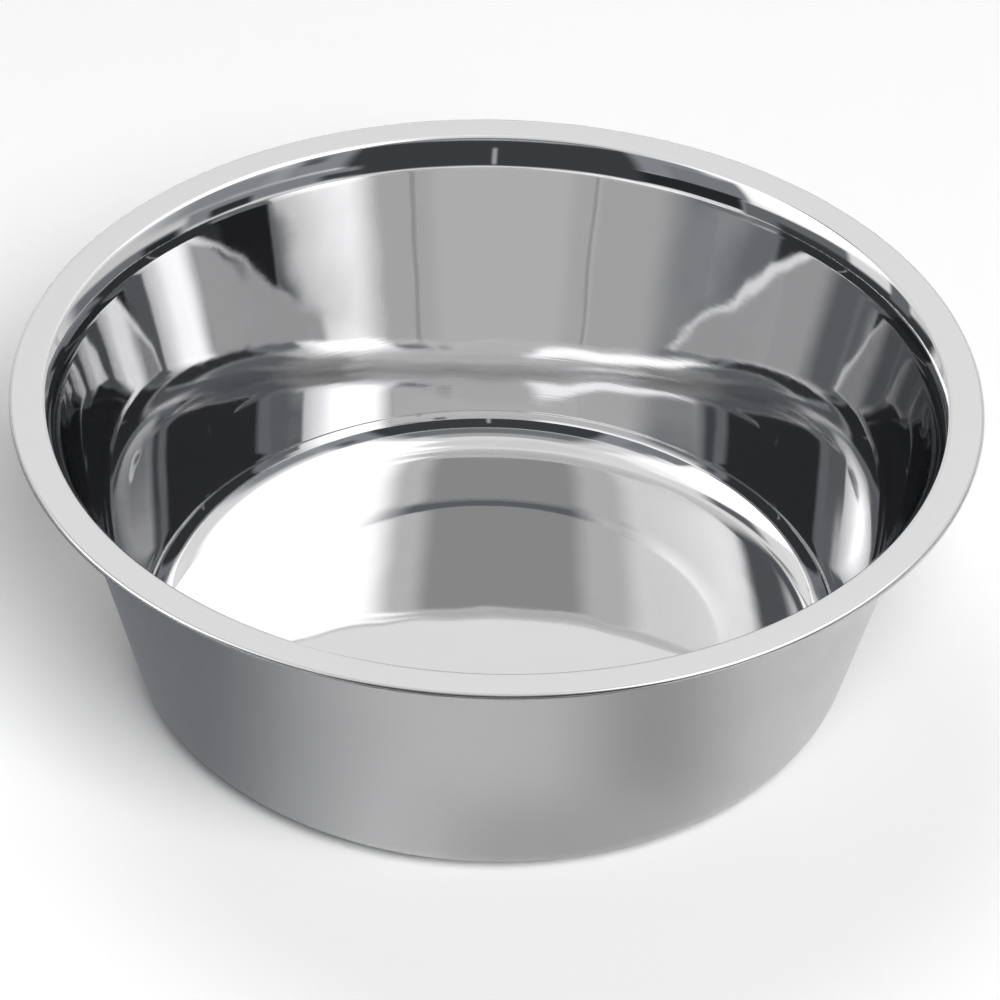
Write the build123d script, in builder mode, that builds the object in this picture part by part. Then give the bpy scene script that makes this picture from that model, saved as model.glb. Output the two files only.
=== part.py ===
from build123d import *
import os
from math import cos, radians, sin, tan

# A stainless steel dog bowl, deep-drawn from one disc of sheet: a base with its middle pressed
# up a little, a bend up into a flared wall, a slow bend outwards at the mouth, and a rim
# pressed flat, which leaves a crisp corner at its inner side, with the rim's edge folded under
# as a hem. Millimetres. The bowl stands on z = 0 and its axis is Z.

# Overall sizes
rim_diameter = 210.0
bowl_height = 71.0
sheet_thickness = 0.6

# Rim: the width of its flat from the folded edge to the inner corner, and that corner's radius
rim_width = 7.3
rim_corner_radius = 1.5

# Hem: its height over the fold, how far the edge turns, in degrees, and how far it runs back
hem_height = 1.6
hem_turn = 180.0
hem_length = 4.0

# Mouth: how steeply the sheet leaves the rim's inner corner, in degrees, the bend from there
# into the wall, and the short straight piece between the corner and the bend
mouth_slope = 50.0
mouth_bend_radius = 16.5
mouth_land = 0.1

# Wall: its lean from the upright, in degrees, and the bend into the base
wall_flare = 15.0
base_bend_radius = 9.5

# Base: the width of the flat ring that the bowl stands on, how steeply the raised middle falls
# to that ring, in degrees, the bends at the fall's top and foot, and the straight between them
stand_ring_width = 13.9
panel_slope = 6.0
panel_edge_bend_radius = 10.0
panel_foot_bend_radius = 40.0
panel_land = 0.2

# Places round the mouth, on the side of the sheet that holds the food: the two corners that
# the rim's corner and the mouth's bend round off
rim_radius = rim_diameter / 2
rim_inner_radius = rim_radius - rim_width
mouth_bend_turn = 90.0 - mouth_slope - wall_flare
corner_tangent = rim_corner_radius * tan(radians(mouth_slope / 2))
bend_tangent = mouth_bend_radius * tan(radians(mouth_bend_turn / 2))
slope_length = corner_tangent + mouth_land + bend_tangent
mouth_radius = rim_inner_radius - slope_length * cos(radians(mouth_slope))
mouth_level = bowl_height - slope_length * sin(radians(mouth_slope))

# Places on the floor: where the line of the wall comes down to it, and the edge of its middle
floor_level = sheet_thickness
floor_corner_radius = mouth_radius - (mouth_level - floor_level) * tan(radians(wall_flare))
base_bend_turn = 90.0 - wall_flare
base_bend_tangent = base_bend_radius * tan(radians(base_bend_turn / 2))
panel_edge_tangent = panel_edge_bend_radius * tan(radians(panel_slope / 2))
panel_foot_tangent = panel_foot_bend_radius * tan(radians(panel_slope / 2))
panel_fall_length = panel_edge_tangent + panel_land + panel_foot_tangent
panel_level = floor_level + panel_fall_length * sin(radians(panel_slope))
panel_foot_radius = floor_corner_radius - base_bend_tangent - stand_ring_width - panel_foot_tangent
panel_radius = panel_foot_radius - panel_fall_length * cos(radians(panel_slope))

# Places on the hem, which is pressed shut, so that its layers touch
fold_radius = hem_height / 2
fold_start_radius = rim_radius - fold_radius
hem_end_radius = rim_radius - hem_length
hem_level = bowl_height - hem_height

# Bowl: the line of the food side from the axis out to the fold, thickened outwards by one
# sheet, with the shut hem along its edge, turned about the axis
with BuildPart() as bowl:
    with BuildSketch(Plane.XZ) as section:
        with BuildLine() as sheet:
            FilletPolyline(
                (0, panel_level),
                (panel_radius, panel_level),
                (panel_foot_radius, floor_level),
                (floor_corner_radius, floor_level),
                (mouth_radius, mouth_level),
                (rim_inner_radius, bowl_height),
                (fold_start_radius, bowl_height),
                radius=[
                    panel_edge_bend_radius,
                    panel_foot_bend_radius,
                    base_bend_radius,
                    mouth_bend_radius,
                    rim_corner_radius,
                ],
            )
            offset(amount=sheet_thickness, side=Side.RIGHT)
        make_face()
        with BuildLine() as hem:
            top = Line((hem_end_radius, bowl_height), (fold_start_radius, bowl_height))
            fold = JernArc(start=top @ 1, tangent=top % 1, radius=fold_radius, arc_size=-hem_turn)
            under = Line(fold @ 1, (hem_end_radius, hem_level))
            Line(under @ 1, top @ 0)
        make_face()
    revolve(axis=Axis.Z)
bowl.part.label = "bowl"

os.makedirs("parts", exist_ok=True)
export_step(bowl.part, "parts/bowl.step")
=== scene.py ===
import math

import bmesh
import bpy
from mathutils import Matrix, Vector


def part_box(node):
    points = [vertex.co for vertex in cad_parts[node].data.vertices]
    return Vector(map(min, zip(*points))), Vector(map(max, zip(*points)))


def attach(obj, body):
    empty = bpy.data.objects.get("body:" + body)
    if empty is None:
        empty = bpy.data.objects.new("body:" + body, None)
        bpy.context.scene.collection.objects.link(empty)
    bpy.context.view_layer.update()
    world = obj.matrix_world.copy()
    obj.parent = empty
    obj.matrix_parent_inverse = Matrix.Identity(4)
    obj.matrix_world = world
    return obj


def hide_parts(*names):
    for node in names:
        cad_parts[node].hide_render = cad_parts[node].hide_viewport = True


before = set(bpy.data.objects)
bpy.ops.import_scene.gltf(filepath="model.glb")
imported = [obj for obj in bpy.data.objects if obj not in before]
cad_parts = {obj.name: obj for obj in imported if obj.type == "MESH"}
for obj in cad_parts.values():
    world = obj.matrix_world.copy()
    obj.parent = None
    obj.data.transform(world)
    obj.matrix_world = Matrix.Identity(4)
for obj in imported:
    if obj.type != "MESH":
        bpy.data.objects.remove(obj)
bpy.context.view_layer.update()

# The bowl's sizes, in metres: its overall box is the frame's, and the rest are the sheet's own
_, box_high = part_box("bowl")
rim_radius = min(box_high.x, box_high.y)
bowl_height = box_high.z
sheet_thickness = 0.0006
rim_width = 0.0073
rim_corner_radius = 0.0015
mouth_slope = math.radians(50.0)
mouth_land = 0.0001
mouth_bend_radius = 0.0165
hem_height = 0.0016
hem_length = 0.004
wall_flare = math.radians(15.0)
base_bend_radius = 0.0095
stand_ring_width = 0.0139

# The raised middle of the base: its fall to the ring that the bowl stands on, and the fall's bends
panel_slope = math.radians(6.0)
panel_edge_bend_radius = 0.01
panel_foot_bend_radius = 0.04
panel_land = 0.0002

# How finely the skin is divided: round the axis, along a bend, and the longest straight step in
# metres; and the radius below which a point of the outline lies on the axis
steps_round = 640
steps_per_bend = 28
longest_step = 0.006
axis_limit = 1e-9

# Share of the rim's inner corner, from the rim inwards, that has the rim's satin, and share of the
# fold, from the rim down, that is rubbed bright
polish_stop_share = 0.5
rubbed_share = 0.4

# Finishes of the steel, in the order of the outline's runs: name, colour, roughness and how far it
# spreads either way, and the depths of the turned lines and of the sheet's waves in metres
finishes = [
    ("polished_inside", (0.66, 0.66, 0.665), 0.025, 0.01, 0.000001, 0.00014),
    ("satin_rim", (0.66, 0.66, 0.665), 0.36, 0.05, 0.000004, 0.00001),
    ("rubbed_edge", (0.59, 0.59, 0.595), 0.16, 0.05, 0.000003, 0.00001),
    # The outside's colour, darker than the rim's satin, is partly its finish and partly painted shade of
    # the dim floor it mirrors
    ("satin_outside", (0.52, 0.52, 0.525), 0.34, 0.05, 0.000004, 0.00002),
]

# Marks in the steel: how fine the turned lines and the hairs are round the axis and up the profile,
# how fine the sheet's waves and the polish's clouds are, the share of the clouds in the unevenness
# of the polish, of which the hairs are the rest, and the range of that noise that is used
line_fineness = (3.0, 2600.0)
hair_fineness = (40.0, 900.0)
wave_fineness = 26.0
cloud_fineness = 60.0
cloud_share = 0.6
uneven_range = (0.3, 0.7)

# How many times light is followed from mirror to mirror
mirror_bounces = 24

# Floor: its radius in metres and its number of sides, its darkest and lightest tone, how fine the
# changes of tone are and the range of that noise that is used, and how far from the bowl the floor
# starts and ends to fade into the backdrop's white
floor_radius = 9.0
floor_sides = 96
floor_tones = (0.93, 0.96)
tone_fineness = 3.0
tone_range = (0.2, 0.8)
fade_start = 0.45
fade_end = 1.6

# Backdrop: the strength that is white, and its level for the floor's own light
white_strength = 1.0
backdrop_light = 0.17

# Lamps for the floor, a strong one on the camera's side and a weak one behind: name, direction round
# the bowl and above the floor in degrees, and power in watts; their distance and width in metres
lamps = [
    ("key", 158.0, 48.0, 160.0),
    ("fill", -25.0, 60.0, 40.0),
]
lamp_distance = 4.0
lamp_size = 2.4

# Camera: its distance in rim radii from the middle of the mouth, its height above the horizon and
# the small turns that set the bowl in the picture, in degrees, the focal length and the picture's
# width in pixels, and the sensor's width in millimetres
camera_distance_share = 13.0
camera_elevation = 36.188
camera_pan = -0.0517
camera_tilt = 0.9985
camera_roll = 1.579
focal_pixels = 6335.3
picture_pixels = 1000
sensor_width = 36.0

# Studio panels, which only reflections see: name, span round the bowl, span above the floor, light,
# and width of the soft edge on either span. Degrees; 0 is straight behind the bowl and 90 to its right.
panels = [
    ("ceiling", (-180, 24), (74, 102), 0.9, (22, 6)),
    ("left_softbox_top", (-128, -60), (44, 72), 1.35, (10, 6)),
    ("left_softbox", (-122, -60), (16, 64), 2.0, (18, 12)),
    ("left_softbox_core", (-108, -61), (18, 58), 3.4, (18, 16)),
    ("right_softbox", (18, 138), (42, 82), 2.3, (15, 8)),
    ("back_wall", (-64, 50), (-6, 43), 1.06, (5, 6)),
    ("back_wall_foot", (-64, 50), (-6, 31), 0.83, (5, 3)),
    ("back_panel", (-40, 40), (-6, 31), 0.95, (12, 3)),
    ("right_wall", (46, 110), (-6, 31), 0.8, (4, 6)),
    ("right_wall_end", (74, 138), (14, 43), 0.34, (24, 10)),
    ("left_top_grey", (200, 248), (58, 71.5), 0.92, (14, 3)),
    ("camera_side_top", (142, 226), (60, 71.5), 0.54, (12, 2)),
    ("camera_side_wall", (132, 226), (44, 64), 0.24, (16, 5)),
    ("camera_side_grey", (118, 240), (19, 47), 0.34, (8, 4)),
    ("camera_side_left", (222, 246), (17, 40), 0.28, (3, 4)),
    ("low_left_dark", (176, 243), (5, 22), 0.03, (2, 1.5)),
    ("camera_side_dark", (137, 217), (3, 47), 0.065, (5, 3)),
    ("low_left_floor", (197, 229), (-4, 5), 1.5, (6, 4)),
    ("low_left_box", (240, 276), (2, 20), 0.19, (3, 2)),
    ("low_left_table", (250, 312), (-6, 12), 0.058, (4, 4)),
    ("low_left_post", (289, 299), (5, 20), 0.19, (2, 2)),
    ("low_right_grey", (94, 146), (3, 21), 0.31, (4, 4)),
    ("low_right_dark", (132, 148), (5, 15), 0.074, (4, 3)),
    ("low_right_box", (102, 117), (3, 15), 0.042, (3, 3)),
    ("low_right_table", (50, 99), (-4, 13), 0.22, (8, 4)),
    ("low_right_stool", (80, 96), (-2, 11), 0.035, (4, 4)),
    ("left_stand", (-46, -42), (-2, 36), 0.6, (1.6, 4)),
    ("right_stand", (44.5, 47.5), (-2, 31), 0.6, (1.4, 4)),
    ("left_lamp_head", (-68, -40), (46, 62), 0.16, (8, 5)),
    ("left_lamp_shade", (-38, -27), (40, 52), 0.36, (4, 5)),
    ("right_stand_far", (124, 134), (31, 42), 0.145, (4, 4)),
    ("camera_stand", (176.5, 178.5), (4, 36), 0.5, (0.9, 6)),
]

# The first panel's distance in metres, and how much nearer than the one before it, which it covers,
# each of the others stands
first_panel_distance = 12.0
nearer_by = 0.05

# Painted shadow on the floor, in grey cards which only reflections see: they stand in for the bowl's
# shadow and the shade that the satin outside mirrors. Name, span round the bowl in degrees, span out from
# its axis in metres, light, and width of the soft edge on either span; and the first one's level over the
# floor in metres, by which each lies higher than the one before it
painted_floor_shadows = [
    ("left_card", (188, 330), (0.06, 0.5), 0.25, (50, 0.004)),
    ("front_card", (122, 174), (0.066, 0.2), 0.48, (26, 0.034)),
    ("near_card", (138, 200), (0.068, 0.1), 0.63, (25, 0.01)),
    ("far_card", (135, 225), (0.15, 1.2), 0.05, (30, 0.05)),
]
painted_shadow_level = 0.0002

# Panels dimmer than the limit are the unlit room, and painted shadow cards dimmer than it are painted
# shade; both are a little bluer than the rest
unlit_limit = 0.35
unlit_colour = (0.96, 1.0, 1.07, 1.0)
lit_colour = (1.0, 1.0, 1.0, 1.0)

# Cells of a panel or card: their greatest width in degrees, and the fewest along a side, which is
# what a card has outwards, where it is flat
widest_cell = 4
fewest_cells = 2


# Profile of the skin

def rounded(points, radii):
    """The points of an open outline with its inner corners rounded to the given radii."""
    line = [points[0]]
    for before, corner, after, radius in zip(points, points[1:], points[2:], radii):
        back = (before - corner).normalized()
        ahead = (after - corner).normalized()
        half = back.angle(ahead) / 2
        centre = corner + (back + ahead).normalized() * radius / math.sin(half)
        start = corner + back * radius / math.tan(half) - centre
        end = corner + ahead * radius / math.tan(half) - centre
        turn = start.angle_signed(end)
        for k in range(steps_per_bend + 1):
            line.append(centre + Matrix.Rotation(-turn * k / steps_per_bend, 2) @ start)
    return line + [points[-1]]


def divided(line):
    """The same line with its long straight runs cut into short steps."""
    out = []
    for a, b in zip(line, line[1:]):
        count = max(1, math.ceil((b - a).length / longest_step))
        out += [a.lerp(b, k / count) for k in range(count)]
    return out + [line[-1]]


def shifted(line, by):
    """An open outline moved to its right by a distance, with its corners mitred."""
    sides = []
    for a, b in zip(line, line[1:]):
        run = (b - a).normalized()
        sides.append(Vector((run.y, -run.x)))
    out = [line[0] + sides[0] * by]
    for corner, before, after in zip(line[1:], sides, sides[1:]):
        out.append(corner + (before + after) * by / (1 + before.dot(after)))
    return out + [line[-1] + sides[-1] * by]


def skin_profile():
    """The bowl's outline from the floor's middle over the rim to the middle of its underside,
    as runs of one finish each: inside, rim, edge and outside."""
    bend_turn = math.pi / 2 - wall_flare - mouth_slope
    slope_length = rim_corner_radius * math.tan(mouth_slope / 2) + mouth_land
    slope_length += mouth_bend_radius * math.tan(bend_turn / 2)
    rim_inner = rim_radius - rim_width
    turn_radius = rim_inner - slope_length * math.cos(mouth_slope)
    turn_level = bowl_height - slope_length * math.sin(mouth_slope)
    floor_corner = turn_radius - (turn_level - sheet_thickness) * math.tan(wall_flare)
    base_bend_tangent = base_bend_radius * math.tan((math.pi / 2 - wall_flare) / 2)
    panel_edge_tangent = panel_edge_bend_radius * math.tan(panel_slope / 2)
    panel_foot_tangent = panel_foot_bend_radius * math.tan(panel_slope / 2)
    fall_length = panel_edge_tangent + panel_land + panel_foot_tangent
    panel_level = sheet_thickness + fall_length * math.sin(panel_slope)
    panel_foot = floor_corner - base_bend_tangent - stand_ring_width - panel_foot_tangent
    panel_edge = panel_foot - fall_length * math.cos(panel_slope)
    fold = hem_height / 2
    hem_end = rim_radius - hem_length
    line = [
        Vector((0, panel_level)),
        Vector((panel_edge, panel_level)),
        Vector((panel_foot, sheet_thickness)),
        Vector((floor_corner, sheet_thickness)),
        Vector((turn_radius, turn_level)),
        Vector((rim_inner, bowl_height)),
        Vector((rim_radius - fold, bowl_height)),
    ]
    food_side = rounded(line, [
        panel_edge_bend_radius,
        panel_foot_bend_radius,
        base_bend_radius,
        mouth_bend_radius,
        rim_corner_radius,
    ])
    # The polish ends part of the way round the rim's inner corner, where the satin starts
    polish_end = len(food_side) - 2 - round(steps_per_bend * polish_stop_share)
    middle = Vector((rim_radius - fold, bowl_height - fold))
    turns = [math.pi * k / steps_per_bend for k in range(steps_per_bend + 1)]
    edge = [middle + fold * Vector((math.sin(t), math.cos(t))) for t in turns]
    rubbed_end = round(steps_per_bend * rubbed_share)
    # The far side of the sheet, from the hem's end back to the axis
    far = shifted(line, sheet_thickness)[-2::-1]
    hem_top = Vector((hem_end, far[0].y))
    under = rounded([hem_top] + far, [
        rim_corner_radius - sheet_thickness,
        mouth_bend_radius - sheet_thickness,
        base_bend_radius + sheet_thickness,
        panel_foot_bend_radius + sheet_thickness,
        panel_edge_bend_radius - sheet_thickness,
    ])
    return [
        food_side[:polish_end + 1],
        food_side[polish_end:],
        edge[:rubbed_end + 1],
        edge[rubbed_end:] + [Vector((hem_end, edge[-1].y))] + under,
    ]


def revolved(name, runs):
    """A closed skin turned about the axis, with one material slot for each run of the outline."""
    mesh = bpy.data.meshes.new(name)
    bm = bmesh.new()
    angles = [2 * math.pi * j / steps_round for j in range(steps_round)]
    rings, slots = [], []
    for slot, line in enumerate(runs):
        points = divided(line)
        # A run starts at the last point of the run before it
        for p in points[1:] if rings else points:
            if p.x < axis_limit:
                rings.append([bm.verts.new((0, 0, p.y))])
            else:
                rings.append([bm.verts.new((p.x * math.cos(a), p.x * math.sin(a), p.y)) for a in angles])
            slots.append(slot)
    for low, high, slot in zip(rings, rings[1:], slots[1:]):
        for j in range(steps_round):
            k = (j + 1) % steps_round
            corners = [low[j % len(low)], high[j % len(high)], high[k % len(high)], low[k % len(low)]]
            # At the axis, where a ring is one point, the face is a triangle
            face = bm.faces.new(list(dict.fromkeys(corners)))
            face.material_index = slot
            face.smooth = True
    bmesh.ops.recalc_face_normals(bm, faces=bm.faces)
    bm.to_mesh(mesh)
    bm.free()
    piece = bpy.data.objects.new(name, mesh)
    bpy.context.scene.collection.objects.link(piece)
    return piece


# Materials

class Nodes:
    """A material's or world's node tree, with short ways to add and join nodes."""

    def __init__(self, owner):
        owner.use_nodes = True
        self.tree = owner.node_tree
        self.tree.nodes.clear()

    def add(self, kind, inputs=None, **settings):
        """A new node with its settings, and each input set to a value or joined to a socket."""
        made = self.tree.nodes.new("ShaderNode" + kind)
        for key, value in settings.items():
            setattr(made, key, value)
        for key, value in (inputs or {}).items():
            if isinstance(value, bpy.types.NodeSocket):
                self.tree.links.new(value, made.inputs[key])
            else:
                made.inputs[key].default_value = value
        return made

    def math(self, operation, a, b=0.0):
        """The result of one sum."""
        return self.add("Math", {0: a, 1: b}, operation=operation).outputs[0]

    def ramp(self, value, low, high, to_low=0.0, to_high=1.0):
        """A value carried smoothly from one range to another."""
        return self.add(
            "MapRange",
            {"Value": value, "From Min": low, "From Max": high, "To Min": to_low, "To Max": to_high},
            interpolation_type="SMOOTHSTEP",
        ).outputs[0]

    def seen(self):
        """1 for what the camera, a mirror or a glass sees, and 0 for light that falls on things."""
        path = self.add("LightPath")
        either = self.math("ADD", path.outputs["Is Camera Ray"], path.outputs["Is Glossy Ray"])
        return self.math("MINIMUM", self.math("ADD", either, path.outputs["Is Transmission Ray"]), 1.0)


def turned_coordinates(nodes, along, across):
    """Coordinates that are stretched round the axis, for marks that a turning tool leaves: along is
    their fineness round the axis, at any radius, and across their fineness up the profile, per metre."""
    place = nodes.add("TexCoord").outputs["Object"]
    flat = nodes.add("VectorMath", {0: place, 1: (1, 1, 0)}, operation="MULTIPLY").outputs[0]
    radius = nodes.add("VectorMath", {0: flat}, operation="LENGTH").outputs["Value"]
    around = nodes.add("VectorMath", {0: flat}, operation="NORMALIZE").outputs[0]
    height = nodes.add("SeparateXYZ", {0: place}).outputs["Z"]
    profile = nodes.math("ADD", radius, height)
    sides = nodes.add("SeparateXYZ", {0: around})
    return nodes.add("CombineXYZ", {
        "X": nodes.math("MULTIPLY", sides.outputs["X"], along),
        "Y": nodes.math("MULTIPLY", sides.outputs["Y"], along),
        "Z": nodes.math("MULTIPLY", profile, across),
    }).outputs[0]


def steel(name, colour, roughness, roughness_spread, line_depth, wave_depth):
    """Stainless steel: fine turned lines, a slow waviness of the sheet, and uneven polish."""
    material = bpy.data.materials.new(name)
    nodes = Nodes(material)
    place = nodes.add("TexCoord").outputs["Object"]
    lines = nodes.add("TexNoise", {
        "Vector": turned_coordinates(nodes, *line_fineness), "Scale": 1.0, "Detail": 3.0, "Roughness": 0.6,
    }).outputs["Fac"]
    waves = nodes.add("TexNoise", {"Vector": place, "Scale": wave_fineness, "Detail": 2.0}).outputs["Fac"]
    cloud = nodes.add("TexNoise", {"Vector": place, "Scale": cloud_fineness, "Detail": 4.0}).outputs["Fac"]
    hairs = nodes.add("TexNoise", {
        "Vector": turned_coordinates(nodes, *hair_fineness), "Scale": 1.0, "Detail": 2.0,
    }).outputs["Fac"]
    clouds_part = nodes.math("MULTIPLY", cloud, cloud_share)
    hairs_part = nodes.math("MULTIPLY", hairs, 1.0 - cloud_share)
    mixed = nodes.math("ADD", clouds_part, hairs_part)
    rough = nodes.ramp(mixed, *uneven_range, roughness - roughness_spread, roughness + roughness_spread)
    slow = nodes.add("Bump", {"Strength": 1.0, "Distance": wave_depth, "Height": waves})
    fine = nodes.add("Bump", {
        "Strength": 1.0, "Distance": line_depth, "Height": lines, "Normal": slow.outputs[0],
    })
    shader = nodes.add("BsdfPrincipled", {
        "Base Color": (*colour, 1.0), "Metallic": 1.0, "Roughness": rough, "Normal": fine.outputs[0],
    })
    nodes.add("OutputMaterial", {"Surface": shader.outputs[0]})
    return material


def floor_material():
    """A plain pale floor, very slightly uneven in tone, that fades into the backdrop's white far off."""
    material = bpy.data.materials.new("pale_floor")
    nodes = Nodes(material)
    place = nodes.add("TexCoord").outputs["Object"]
    tone = nodes.add("TexNoise", {"Vector": place, "Scale": tone_fineness, "Detail": 2.0}).outputs["Fac"]
    level = nodes.ramp(tone, *tone_range, *floor_tones)
    colour = nodes.add("CombineColor", {"Red": level, "Green": level, "Blue": level}).outputs[0]
    near = nodes.add("BsdfDiffuse", {"Color": colour})
    far = nodes.add("Emission", {"Strength": white_strength})
    away = nodes.add("VectorMath", {0: place}, operation="LENGTH").outputs["Value"]
    fade = nodes.math("MULTIPLY", nodes.ramp(away, fade_start, fade_end), nodes.seen())
    mix = nodes.add("MixShader", {0: fade, 1: near.outputs[0], 2: far.outputs[0]})
    nodes.add("OutputMaterial", {"Surface": mix.outputs[0]})
    return material


# Studio

def direction(azimuth, elevation):
    """The way to a place round the bowl and above the floor, given in degrees, at length 1."""
    a, e = math.radians(azimuth), math.radians(elevation)
    return Vector((math.cos(e) * math.sin(a), math.cos(e) * math.cos(a), math.sin(e)))


def sector(name, azimuth, span, place):
    """A sheet over a span round the bowl and a span of heights or distances, which both run from
    0 to 1 in its UV map; place gives the point at a direction and a height or distance."""
    columns = max(fewest_cells, math.ceil((azimuth[1] - azimuth[0]) / widest_cell))
    rows = max(fewest_cells, math.ceil((span[1] - span[0]) / widest_cell))
    points, faces, corners = [], [], []
    for r in range(rows + 1):
        for c in range(columns + 1):
            a = azimuth[0] + (azimuth[1] - azimuth[0]) * c / columns
            points.append(place(a, span[0] + (span[1] - span[0]) * r / rows))
            corners.append((c / columns, r / rows))
    for r in range(rows):
        for c in range(columns):
            k = r * (columns + 1) + c
            faces.append((k, k + 1, k + columns + 2, k + columns + 1))
    mesh = bpy.data.meshes.new(name)
    mesh.from_pydata(points, [], faces)
    layer = mesh.uv_layers.new(name="UVMap")
    for loop in mesh.loops:
        layer.data[loop.index].uv = corners[loop.vertex_index]
    piece = bpy.data.objects.new(name, mesh)
    bpy.context.scene.collection.objects.link(piece)
    return piece


def glow(name, azimuth, span, light, soft):
    """Even light that fades out towards the four sides of a sheet."""
    material = bpy.data.materials.new(name)
    nodes = Nodes(material)
    sides = nodes.add("SeparateXYZ", {0: nodes.add("UVMap").outputs[0]})
    covers = []
    for side, (low, high), width in (("X", azimuth, soft[0]), ("Y", span, soft[1])):
        # Two soft edges meet in the middle at most
        edge = min(0.5, width / (high - low))
        rise = nodes.ramp(sides.outputs[side], 0.0, edge)
        fall = nodes.ramp(sides.outputs[side], 1.0 - edge, 1.0, 1.0, 0.0)
        covers.append(nodes.math("MULTIPLY", rise, fall))
    cover = nodes.math("MULTIPLY", *covers)
    clear = nodes.add("BsdfTransparent")
    colour = unlit_colour if light < unlit_limit else lit_colour
    shine = nodes.add("Emission", {"Color": colour, "Strength": light})
    mix = nodes.add("MixShader", {0: cover, 1: clear.outputs[0], 2: shine.outputs[0]})
    nodes.add("OutputMaterial", {"Surface": mix.outputs[0]})
    return material


def mirrored(piece, azimuth, span, light, soft):
    """Makes a sheet glow and shows it to reflections alone."""
    piece.data.materials.append(glow(piece.name, azimuth, span, light, soft))
    for ray in ("camera", "diffuse", "transmission", "volume_scatter", "shadow"):
        setattr(piece, "visible_" + ray, False)


def panel(order, name, azimuth, elevation, light, soft):
    """One studio panel, a part of a dome about the bowl."""
    distance = first_panel_distance - order * nearer_by

    def place(a, e):
        return distance * direction(a, e)

    mirrored(sector(name, azimuth, elevation, place), azimuth, elevation, light, soft)


def painted_floor_shadow(order, name, azimuth, distance, light, soft):
    """One grey card of painted shadow that lies on the floor beside the bowl."""
    level = Vector((0, 0, painted_shadow_level * (order + 1)))

    def place(a, away):
        return away * direction(a, 0) + level

    mirrored(sector(name, azimuth, distance, place), azimuth, distance, light, soft)


def backdrop():
    """A plain white backdrop for what is seen and mirrored, and a lower level for the floor's light."""
    world = bpy.data.worlds.new("backdrop")
    bpy.context.scene.world = world
    nodes = Nodes(world)
    white = nodes.add("Background", {"Color": (1, 1, 1, 1), "Strength": white_strength})
    dim = nodes.add("Background", {"Color": (1, 1, 1, 1), "Strength": backdrop_light})
    mix = nodes.add("MixShader", {0: nodes.seen(), 1: dim.outputs[0], 2: white.outputs[0]})
    nodes.add("OutputWorld", {"Surface": mix.outputs[0]})
    world.cycles.sampling_method = "NONE"


def floor():
    """The pale floor that the bowl stands on."""
    mesh = bpy.data.meshes.new("floor")
    bm = bmesh.new()
    bmesh.ops.create_circle(bm, cap_ends=True, segments=floor_sides, radius=floor_radius)
    bm.to_mesh(mesh)
    bm.free()
    mesh.materials.append(floor_material())
    piece = bpy.data.objects.new("floor", mesh)
    bpy.context.scene.collection.objects.link(piece)


def lamp(name, azimuth, elevation, power):
    """A large soft lamp that lights the floor and lays the bowl's shadow on it."""
    light = bpy.data.lights.new(name, "AREA")
    light.shape = "DISK"
    light.size = lamp_size
    light.energy = power
    holder = bpy.data.objects.new(name, light)
    bpy.context.scene.collection.objects.link(holder)
    place = lamp_distance * direction(azimuth, elevation)
    holder.location = place
    holder.rotation_euler = place.to_track_quat("Z", "Y").to_euler()
    holder.visible_glossy = False


def camera():
    """The camera at the photograph's viewing angle."""
    data = bpy.data.cameras.new("camera")
    data.sensor_width = sensor_width
    data.lens = focal_pixels / picture_pixels * sensor_width
    holder = bpy.data.objects.new("camera", data)
    bpy.context.scene.collection.objects.link(holder)
    e = math.radians(camera_elevation)
    back = Vector((0, -math.cos(e), math.sin(e)))
    turn = (-back).to_track_quat("-Z", "Y").to_matrix()
    turn = turn @ Matrix.Rotation(math.radians(camera_pan), 3, "Y")
    turn = turn @ Matrix.Rotation(math.radians(-camera_tilt), 3, "X")
    turn = turn @ Matrix.Rotation(math.radians(camera_roll), 3, "Z")
    place = back * camera_distance_share * rim_radius + Vector((0, 0, bowl_height))
    holder.matrix_world = Matrix.Translation(place) @ turn.to_4x4()
    bpy.context.scene.camera = holder


# The bowl
skin = revolved("bowl_skin", skin_profile())
for values in finishes:
    skin.data.materials.append(steel(*values))
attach(skin, "root")
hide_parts("bowl")

# The studio: bright panels left and right, a light grey wall behind, dark low down and behind the camera
for order, values in enumerate(panels):
    panel(order, *values)
# Painted shadow: grey cards on the floor that only reflections see
for order, values in enumerate(painted_floor_shadows):
    painted_floor_shadow(order, *values)
for values in lamps:
    lamp(*values)
backdrop()
floor()
camera()

# The polished inside mirrors itself many times over
scene = bpy.context.scene
scene.cycles.max_bounces = mirror_bounces
scene.cycles.glossy_bounces = mirror_bounces
scene.cycles.transparent_max_bounces = mirror_bounces
scene.view_settings.view_transform = "Standard"
